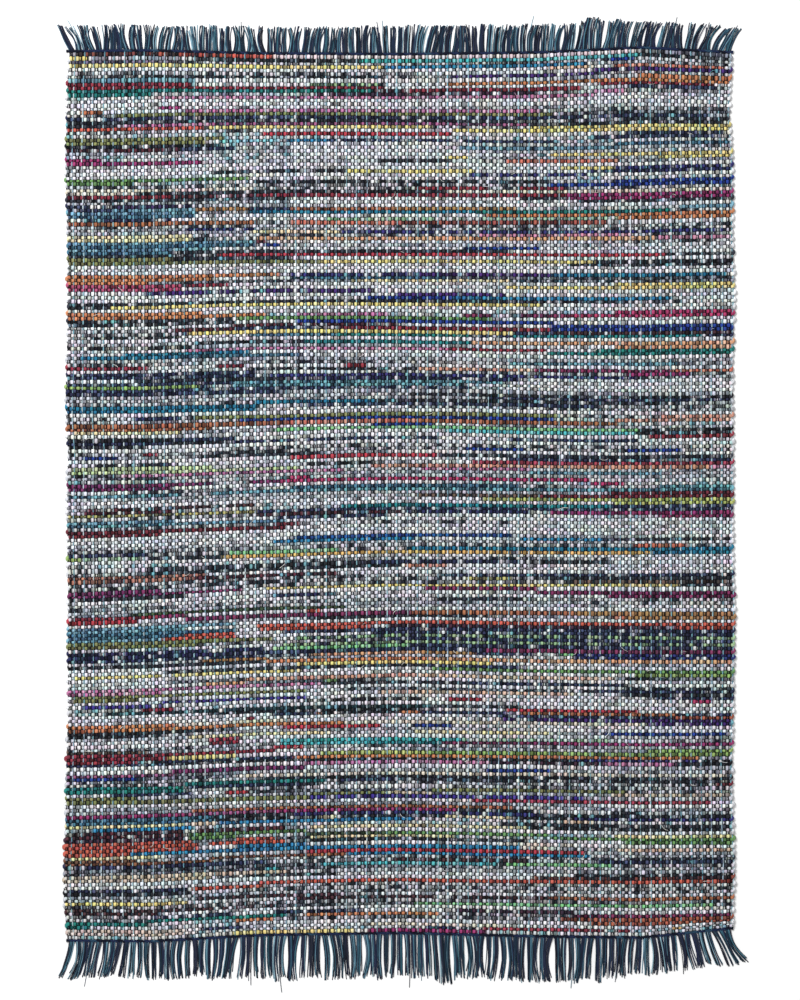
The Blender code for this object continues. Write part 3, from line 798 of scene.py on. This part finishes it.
BANDS = 3
band_picks = -(-PICKS // BANDS)
for band in range(BANDS):
    low, high = band * band_picks, min((band + 1) * band_picks, PICKS)
    inside = np.flatnonzero((weft_pick >= low) & (weft_pick < high))
    some = slice(inside[0], min(inside[-1] + 2, len(centre)))
    lane_u = (weft_x[some] - weft_x.min()) / np.ptp(weft_x)
    lane_v = (weft_pick[some] - low) / (band_picks + 1)
    mesh = tube_mesh("wefts_" + str(band + 1), rings[some], one_strand[some], tints[some],
                     weft_run[some], lane_u, lane_v, 1 / (band_picks + 1), weft_dive[some])
    add_piece(mesh, rag_cotton, "woven_rug")

# %% [markdown]
# ## The warps
# The warp is a hard spun cotton yarn, two yarns side by side to a column, and
# a sliver of the weft shows between them.  Most yarns are black, navy or a very
# dark teal, and one in every third column is a pale blue that drifts to aqua
# along its length.  Held tight on the loom, they run nearly straight: the weft
# climbs over them and dives beneath.  They run on into the twined lines.

# %% Warp colours
WARP_DARKS = linear([(10, 12, 20), (20, 24, 44), (22, 52, 62), (24, 26, 38)])
WARP_LIGHTS = linear([(208, 226, 232), (156, 202, 213), (110, 170, 187), (170, 196, 214)])
STRIDE = 3               # picks from one ring of a warp yarn to the next
ring_picks = np.arange(0, PICKS, STRIDE)
RINGS = (len(ring_picks), 2 * WARPS)
is_light = np.arange(2 * WARPS) % 6 == 3
dark_kind = rng.choice(4, 2 * WARPS, p=[0.42, 0.22, 0.22, 0.14])
mood = np.clip(1.5 + 1.1 * slow_noise(RINGS, 0, 8), 0, 2.999)
pale = mood.astype(int)
blend = (mood - pale)[..., None]
light_tint = WARP_LIGHTS[pale] * (1 - blend) + WARP_LIGHTS[np.minimum(pale + 1, 3)] * blend
warp_tint = np.where(is_light[None, :, None], light_tint, WARP_DARKS[dark_kind][None])
warp_tint = warp_tint * rng.uniform(0.70, 1.12, RINGS)[..., None]
print("light yarns", int(is_light.sum()), "dark yarns", int((~is_light).sum()))

# %% The warps in two pieces
YARN_SEATS = np.array([-0.0031, 0.0022])     # from the column's middle
YARN_WANDER = 0.0002
YARN_HALVES = np.array([0.0011, 0.0019])
WARP_TOP, WARP_LOW = 0.0065, 0.0042
END_TOP, END_LOW = 0.0044, 0.0006            # where they enter the twined lines
SIDE_SHADE = 0.75                            # painted shade: share of its colour kept on a yarn's flanks
column = np.repeat(np.arange(WARPS), 2)
end_step = np.array([0.0030, 0.0055])
near_y = cross_y[:1] - 0.5 * pick_wide[:1] - end_step[::-1, None]
far_y = cross_y[-1:] + 0.5 * pick_wide[-1:] + end_step[:, None]
all_y = np.vstack([near_y, cross_y[ring_picks], far_y])[:, column]
stretch = np.concatenate([[0, 0], ring_picks, [PICKS - 1, PICKS - 1]])
all_x = cross_x[stretch][:, column] + np.tile(YARN_SEATS, WARPS)
all_x = all_x + YARN_WANDER * slow_noise(all_x.shape, 0, 2)
all_top = np.full(all_y.shape, WARP_TOP)
all_low = np.full(all_y.shape, WARP_LOW)
for end_ring in (0, 1, -2, -1):
    all_top[end_ring], all_low[end_ring] = END_TOP, END_LOW
all_tint = np.pad(warp_tint, ((2, 2), (0, 0), (0, 0)), mode="edge")
wide = np.tile(YARN_HALVES, WARPS) * rng.uniform(0.85, 1.15, 2 * WARPS)
points = len(all_y)


def warp_mesh(name, chosen):
    """Upright tubes: each yarn's points from the near end to the far one, left, top and right."""
    x, y = all_x[:, chosen].T.ravel(), all_y[:, chosen].T.ravel()
    top, low = all_top[:, chosen].T.ravel(), all_low[:, chosen].T.ravel()
    half = np.repeat(wide[chosen], points)
    strand = np.repeat(np.arange(len(chosen)), points)
    middle = np.stack([x, y, 0.5 * (top + low)], axis=1)
    way = headings(middle, strand)
    out = leftwards(way) * half[:, None]
    ring = np.empty((len(x), 3, 3))
    for corner, (sideways, height) in enumerate(((1, low), (0, top), (-1, low))):
        ring[:, corner, :2] = middle[:, :2] + sideways * out
        ring[:, corner, 2] = height
    tint = all_tint[:, chosen].transpose(1, 0, 2).reshape(-1, 1, 3)
    # painted shade on both low flanks of every yarn
    tint = tint * np.array([SIDE_SHADE, 1.0, SIDE_SHADE])[None, :, None]
    lane_u = (y - all_y.min()) / np.ptp(all_y)
    lane_v = strand / len(chosen)
    return tube_mesh(name, ring, strand, tint, measured(middle, strand), lane_u, lane_v, 1 / len(chosen))


for name, start in (("warps_left", 0), ("warps_right", WARPS)):
    add_piece(warp_mesh(name, np.arange(start, start + WARPS)), warp_cotton, "woven_rug")

# %% [markdown]
# ## Painted shade under the weave
# Under the ridges of the weave lies a dark sheet that stands for the deep shade
# between the strands: painted shade, so that the pale floor does not show
# between them.  It is a thin closed sheet here, a grid that follows the outline
# of the weave, with an upper and a lower skin and a rim.

# %% A closed sheet on a grid
SHADE_SHEET_LOW, SHADE_SHEET_HIGH = 0.0010, 0.0021
SHADE_SHEET_INSET = 0.0035


def sheet_mesh(name, x, y, low, high, tint):
    """Two skins over one grid of points, and a rim that joins their edges."""
    rows, columns = x.shape
    count = rows * columns
    skins = np.tile(np.stack([x.ravel(), y.ravel(), np.full(count, high)], axis=1), (2, 1))
    skins[count:, 2] = low
    index = np.arange(count).reshape(rows, columns)
    quads = np.stack([index[:-1, :-1], index[:-1, 1:], index[1:, 1:], index[1:, :-1]], axis=-1).reshape(-1, 4)
    rim = np.concatenate([index[0, :-1], index[:-1, -1], index[-1, :0:-1], index[:0:-1, 0]])
    after = np.roll(rim, -1)
    wall = np.stack([rim + count, after + count, after, rim], axis=1)
    faces = np.concatenate([quads, quads[:, ::-1] + count, wall])
    mesh = bpy.data.meshes.new(name)
    mesh.from_pydata(skins.tolist(), [], faces.tolist())
    lay_tint(mesh, tint)
    corner = np.empty(len(mesh.loops), np.int32)
    mesh.loops.foreach_get("vertex_index", corner)
    lay_map(mesh, "strand", skins[corner, 0], skins[corner, 1])
    mesh.validate()
    return mesh


shade_sheet_rows = np.linspace(0, PICKS, 133).astype(int)
shade_sheet_columns = np.linspace(0, WARPS - 1, 50).astype(int)
shade_sheet_x = np.vstack([cross_x, cross_x[-1:]])[shade_sheet_rows][:, shade_sheet_columns]
shade_sheet_y = edge_y[shade_sheet_rows][:, shade_sheet_columns]
shade_sheet_x[:, 0] -= 0.5 * SHADE_SHEET_INSET
shade_sheet_x[:, -1] += 0.5 * SHADE_SHEET_INSET
# painted shade: a dark sheet where the weave only lies in shade
shade_sheet_mesh = sheet_mesh("painted_shade_sheet", shade_sheet_x, shade_sheet_y, SHADE_SHEET_LOW, SHADE_SHEET_HIGH, linear((24, 26, 36)))
shade_sheet_piece = add_piece(shade_sheet_mesh, warp_cotton, "woven_rug")

# %% [markdown]
# ## The twined line at each end
# A weaver secures the first and the last pick with a row of twining: two
# navy yarns that go round each other and catch a group of warps at every
# half turn.  Each yarn is a round tube on a helix that follows the end of the
# cloth, squashed a little towards the ground.

# %% Two yarns round each other
TWINE_RADIUS = 0.0026
TWINE_OFFSET = 0.0017
TWINE_SIDES = 5
TWINE_STEPS = 9
LANE_BLOCKS = 8          # the bake map lays long strands in so many blocks
LOCKS = 97
OUTWARDS = {"far": 1.0, "near": -1.0}        # the way out of the cloth at both ends
LINE_OUT = 0.0036        # cloth end to the middle of the twined line
TWINE_LIFT, TWINE_RISE = 0.0031, 0.0010      # middle height of a twined yarn, and its swing
TWINE_SEEDS = {"far": 5, "near": 6}
lock_pitch = 2.0 * (HALF_WIDTH - 0.006) / LOCKS
NAVY_YARN, INK_YARN, AQUA_YARN = linear([(30, 40, 70), (18, 22, 38), (40, 66, 88)])


def round_rings(path, way, radius, sides, squash=1.0):
    """Rings about a path: cosine to the left of the heading, sine upwards times the squash."""
    angle = np.arange(sides) * 2 * math.pi / sides
    out = leftwards(way)
    radius = np.broadcast_to(np.asarray(radius, float), len(path))
    ring = np.empty((len(path), sides, 3))
    ring[..., :2] = path[:, None, :2] + out[:, None, :] * (radius[:, None] * np.cos(angle)[None])[..., None]
    ring[..., 2] = path[:, None, 2] + radius[:, None] * np.sin(angle)[None] * squash
    return ring


def end_line(x, end):
    """Y of the middle of the twined line at x: the cloth's end and half the line's width more."""
    share = 0.5 + 0.5 * OUTWARDS[end]
    return cloth_y(share, x - MIDDLE[0]) + OUTWARDS[end] * LINE_OUT + MIDDLE[1]


def twine(end):
    """Both yarns of one line: x even, y and z on a circle about the line, half a turn apart."""
    count = LOCKS * TWINE_STEPS
    x = np.linspace(-HALF_WIDTH + 0.001, HALF_WIDTH - 0.001, count) + MIDDLE[0]
    phase = 2 * math.pi * (x - x[0]) / lock_pitch
    paths, tints = [], []
    for half_turn in (0.0, math.pi):
        y = end_line(x, end) + TWINE_OFFSET * np.cos(phase + half_turn)
        z = TWINE_LIFT + TWINE_RISE * np.sin(phase + half_turn)
        paths.append(np.stack([x, y, z], axis=1))
        turn_number = ((phase + half_turn) / (2 * math.pi) + 0.25).astype(int)
        kind = np.random.default_rng(TWINE_SEEDS[end]).uniform(size=LOCKS + 3)[turn_number]
        tint = np.where((kind < 0.5)[:, None], NAVY_YARN, INK_YARN)
        tints.append(np.where((kind > 0.94)[:, None], AQUA_YARN, tint))
    path, tint = np.concatenate(paths), np.concatenate(tints)
    strand = np.repeat([0, 1], count)
    rings = round_rings(path, headings(path, strand), TWINE_RADIUS, TWINE_SIDES, 0.8)
    share = (path[:, 0] - x[0]) / (x[-1] - x[0])
    block = np.minimum((share * LANE_BLOCKS).astype(int), LANE_BLOCKS - 1)
    lane = 1 / (2 * LANE_BLOCKS)
    lane_v = (strand * LANE_BLOCKS + block) * lane
    return tube_mesh("twining_" + end, rings, strand, tint[:, None, :], measured(path, strand),
                     share, lane_v, lane)


for end in OUTWARDS:
    add_piece(twine(end), fringe_cotton, "fringe_" + end)

# %% [markdown]
# ## The fringe
# The warps run on past the twined line as a fringe, eight yarns to a lock.
# The locks lie where the model's plain locks lie: the two tables give the
# reach and the lean of their tips, and the same seeded draws vary them.
# Within a lock each yarn has its own place, wave and length, and a lock fans
# out where its neighbours lean away from it.

# %% The locks of both ends: x of the root, then reach and lean of the tip, mm
FAR_LOCKS = numbers("""
    -795 58 -26   -770 63 -22   -740 62 -9   -700 62 -1   -650 63 -13   -618 62 -6   -612 61 1
    -560 60 1   -500 62 -7   -430 61 3   -380 62 -4   -300 63 2   -220 62 8   -140 64 3
    -60 66 -3   20 68 5   90 69 9   160 68 2   240 66 -2   320 66 5   400 66 12
    450 76 6   500 70 14   560 62 10   620 62 13   680 64 16   730 62 22   795 54 26
""", 3)
NEAR_LOCKS = numbers("""
    -795 84 -21   -770 90 -16   -735 90 -14   -690 84 -13   -655 84 -8   -640 88 0   -560 92 1
    -490 92 0   -450 96 -9   -400 100 -15   -370 104 -4   -300 106 2   -230 104 -6   -160 104 4
    -80 106 -3   0 104 3   60 106 8   110 118 2   170 102 -4   240 108 4   310 106 -3
    380 108 2   440 106 -4   500 102 2   560 92 -3   620 86 6   690 84 14   735 82 22
    760 86 42   795 76 42
""", 3)
MIDDLE_HALF, TIP_HALF = 0.0041, 0.0029


def lock_table(table, seed):
    """Root, middle, tip and reach of each lock, by the rule and the draws of the model's locks."""
    draws = random.Random(seed)
    rows = []
    last_middle = last_tip = -2.0
    for number in range(LOCKS):
        root = -HALF_WIDTH + 0.006 + (number + 0.5) * lock_pitch
        reach = np.interp(root / MM, table[:, 0], table[:, 1]) * MM * draws.uniform(0.94, 1.04)
        lean = np.interp(root / MM, table[:, 0], table[:, 2]) * MM + draws.uniform(-0.0018, 0.0018)
        middle = max(root + lean * draws.uniform(0.30, 0.55), last_middle + 2.4 * MIDDLE_HALF)
        tip = max(root + lean, last_tip + 2.7 * TIP_HALF)
        last_middle, last_tip = middle, tip
        rows.append((root, middle, tip, reach))
    return np.array(rows)


end_locks = {"far": lock_table(FAR_LOCKS, 23), "near": lock_table(NEAR_LOCKS, 37)}
for end, locks in end_locks.items():
    print(end, "locks reach", locks[:, 3].min().round(3), "to", locks[:, 3].max().round(3), "m")

# %% Yarns of a fringe
YARNS = 8
YARN_STEPS = 9
YARN_SIDES = 4
ROOT_OUT = 0.0022        # where the yarns leave the twined line
ROOT_THICK, TIP_THICK, RUNAWAY_THICK = 0.00140, 0.00115, 0.0008
# of the far and the near end: gaps between yarns at root and tip, then how much
# locks gather, yarns stray and locks bow
END_HABITS = {"far": (0.0016, 0.0017, 0.0048, 0.0016, 0.0022),
              "near": (0.0015, 0.0014, 0.0036, 0.0012, 0.0034)}
FRINGE_SEEDS = {"far": 61, "near": 62}
YARN_DARKS = linear([(22, 26, 38), (38, 46, 72), (28, 50, 66), (44, 48, 62), (34, 42, 64)])
YARN_LIGHTS = linear([(72, 112, 130), (134, 168, 182), (54, 88, 108), (98, 138, 156), (56, 98, 114)])


def fringe(end):
    """All yarns of one end.  s runs from 0 at the root to 1 at the tip.

    x = root + spread in the lock + lean, by a curve through the lock's middle and tip,
    plus a bow that is the lock's own and a small wave that is the yarn's.  y leaves the
    twined line by the reach times s.  The height falls from the root to the ground,
    where some yarns lie on their neighbours.
    """
    locks, outwards = end_locks[end], OUTWARDS[end]
    rng = np.random.default_rng(FRINGE_SEEDS[end])
    root_gap, tip_gap, gathers, strays, bows = END_HABITS[end]
    count = LOCKS * YARNS
    lock = np.repeat(np.arange(LOCKS), YARNS)
    seat = np.tile(np.arange(YARNS) - (YARNS - 1) / 2, LOCKS)
    gather = smooth(rng.normal(size=LOCKS), 0, 1)
    gather *= gathers / gather.std()
    root, middle, tip, reach = locks[lock].T
    tip = tip + gather[lock]
    middle = middle + 0.45 * gather[lock]
    s = np.linspace(0, 1, YARN_STEPS)[None, :]
    fan = np.clip(np.gradient(locks[:, 2]) / lock_pitch, 1.0, 1.9)[lock][:, None]
    spread = root_gap * (1 - s) + (tip_gap + rng.normal(0, 0.0003, (count, 1))) * fan * s
    stray = rng.normal(0, strays, (count, 1)) * s ** 2
    bend_middle = 4 * s * (1 - s) * (middle - 0.5 * (root + tip))[:, None]
    x = root[:, None] + (tip - root)[:, None] * s + bend_middle + seat[:, None] * spread + stray
    wave = rng.uniform(0.0003, 0.0014, (count, 1)) * np.sin(rng.uniform(4, 10, (count, 1)) * s
                                                          + rng.uniform(0, 6.28, (count, 1)))
    bow = rng.normal(0, bows, LOCKS)[lock]
    x = x + wave * s + bow[:, None] * np.sin(math.pi * s) + MIDDLE[0]
    length = (reach - ROOT_OUT) * np.clip(1.04 - np.abs(rng.normal(0, 0.09, count)), 0.62, 1.04)
    runaway = rng.uniform(size=count) < 0.015
    length = length * np.where(runaway, rng.uniform(1.08, 1.30, count), 1.0)
    root_y = end_line(root + MIDDLE[0], end) + outwards * ROOT_OUT
    y = root_y[:, None] + outwards * length[:, None] * s
    radius = np.linspace(ROOT_THICK, TIP_THICK, YARN_STEPS)[None, :] * rng.uniform(0.75, 1.15, (count, 1))
    radius = np.where(runaway[:, None], RUNAWAY_THICK, radius)
    pile = rng.choice([0.0, 0.0011, 0.0022], (count, 1), p=[0.55, 0.3, 0.15])
    z = radius + 0.0024 * np.exp(-s / 0.10) + pile * np.sin(math.pi * np.clip(s * 0.8 + 0.1, 0, 1))
    path = np.stack([x, y, z], axis=-1).reshape(-1, 3)
    strand = np.repeat(np.arange(count), YARN_STEPS)
    rings = round_rings(path, headings(path, strand), radius.ravel(), YARN_SIDES)
    light = rng.uniform(size=count) < 0.25
    dark_tint = YARN_DARKS[rng.integers(0, len(YARN_DARKS), count)]
    light_tint = YARN_LIGHTS[rng.integers(0, len(YARN_LIGHTS), count)]
    tint = np.where(light[:, None], light_tint, dark_tint)
    tint = tint[:, None, :] * rng.uniform(0.75, 1.25, (count, YARN_STEPS, 1))
    colour = tint.reshape(-1, 1, 3)
    lanes = -(-count // LANE_BLOCKS)
    lane_u = ((strand % LANE_BLOCKS) + 0.04 + 0.92 * np.tile(s[0], count)) / LANE_BLOCKS
    lane_v = (strand // LANE_BLOCKS) / lanes
    return tube_mesh("fringe_yarns_" + end, rings, strand, colour, measured(path, strand),
                     lane_u, lane_v, 1 / lanes)


for end in OUTWARDS:
    add_piece(fringe(end), fringe_cotton, "fringe_" + end)

# %% [markdown]
# ## Loose ends
# Torn strips fray, and the weaver leaves their ends lying on the cloth.  Some
# threads of the old cloths work loose as well.  Each is a short thin tube
# that starts at a crossing and lies in a bow over its neighbours.

# %% Frayed threads on the cloth
THREADS = 260
THREAD_STEPS = 6
rng = np.random.default_rng(90)
at_pick = rng.integers(2, PICKS - 2, THREADS)
at_warp = rng.integers(2, WARPS - 2, THREADS)
direction = rng.uniform(-0.9, 0.9, THREADS) + np.where(rng.uniform(size=THREADS) < 0.5, 0.0, math.pi)
thread_long = rng.uniform(0.008, 0.026, THREADS)
bow = rng.uniform(-1.6, 1.6, THREADS)
s = np.linspace(0, 1, THREAD_STEPS)[None, :]
turning = direction[:, None] + bow[:, None] * (s - 0.5)
pace = thread_long[:, None] / THREAD_STEPS
x = cross_x[at_pick, at_warp][:, None] + np.cumsum(np.cos(turning), 1) * pace
y = cross_y[at_pick, at_warp][:, None] + np.cumsum(np.sin(turning), 1) * pace
z = 0.0074 + 0.0018 * np.sin(math.pi * s) + rng.uniform(-0.0004, 0.0008, (THREADS, 1))
thread_path = np.stack([x, y, np.broadcast_to(z, x.shape)], axis=-1).reshape(-1, 3)
thread_of = np.repeat(np.arange(THREADS), THREAD_STEPS)
thread_radius = np.repeat(rng.uniform(0.0004, 0.0008, THREADS), THREAD_STEPS)
thread_rings = round_rings(thread_path, headings(thread_path, thread_of), thread_radius, 3)
thread_tint = np.where((rng.uniform(size=THREADS) < 0.6)[:, None], linear((222, 222, 216)),
                       weft_colour[at_pick, at_warp])
thread_colour = np.repeat(thread_tint, THREAD_STEPS, 0)[:, None, :]
lane_u = np.tile(s[0], THREADS) * 0.9 + 0.05
thread_mesh = tube_mesh("loose_threads", thread_rings, thread_of, thread_colour,
                        measured(thread_path, thread_of), lane_u, thread_of / THREADS, 1 / THREADS)
add_piece(thread_mesh, loose_cotton, "woven_rug")

# %% [markdown]
# ## The floor
# The rug lies on a plain pale floor.  It belongs to the studio and not to the
# rug, and the cloth rests on it.

# %% A pale floor
FLOOR_HALF = 4.0
floor_mesh = bpy.data.meshes.new("floor")
floor_mesh.from_pydata([(-FLOOR_HALF, -FLOOR_HALF, 0), (FLOOR_HALF, -FLOOR_HALF, 0),
                        (FLOOR_HALF, FLOOR_HALF, 0), (-FLOOR_HALF, FLOOR_HALF, 0)], [], [(0, 1, 2, 3)])
floor = place("floor", floor_mesh)
floor_white = bpy.data.materials.new("floor_white")
floor_white.use_nodes = True
set_values(floor_white.node_tree.nodes["Principled BSDF"],
           {"Base Color": (0.95, 0.95, 0.95, 1), "Roughness": 0.9, "Specular IOR Level": 0.1})
floor_mesh.materials.append(floor_white)
print("floor", 2 * FLOOR_HALF, "m square")

# %% [markdown]

# %% [markdown]
# ## Light and camera
# A wide soft lamp stands high at the upper left, and a pale sky fills the
# shadows, as in a white studio.  The camera looks straight down through a long
# lens, so that nothing leans.

# %% Lamp and sky
lamp_data = bpy.data.lights.new("studio_lamp", "AREA")
lamp_data.shape = "SQUARE"
lamp_data.size = 3.0
lamp_data.energy = 490.0
lamp = place("studio_lamp", lamp_data)
lamp.location = (-3.2, 3.2, 6.0)
lamp.rotation_euler = (math.radians(-28), math.radians(-26), 0)
world = bpy.data.worlds.new("studio_sky")
world.use_nodes = True
set_values(world.node_tree.nodes["Background"], {"Color": (1, 1, 1, 1), "Strength": 0.60})
bpy.context.scene.world = world
bpy.context.scene.view_settings.view_transform = "Standard"
print("lamp", lamp_data.energy, "W,", lamp_data.size, "m wide")

# %% The camera, straight above
LENS, SENSOR = 150.0, 36.0
PIXEL = 2.395 * MM       # size on the rug of one of the frame's thousand rows
height = 1000 * PIXEL * LENS / SENSOR + 0.005
camera_data = bpy.data.cameras.new("camera")
camera_data.lens = LENS
camera_data.sensor_width = SENSOR
camera_data.clip_end = 50.0
camera = place("camera", camera_data)
camera.location = (-0.00886, 0.0005, height)
bpy.context.scene.camera = camera
print("camera", round(height, 3), "m above the floor")
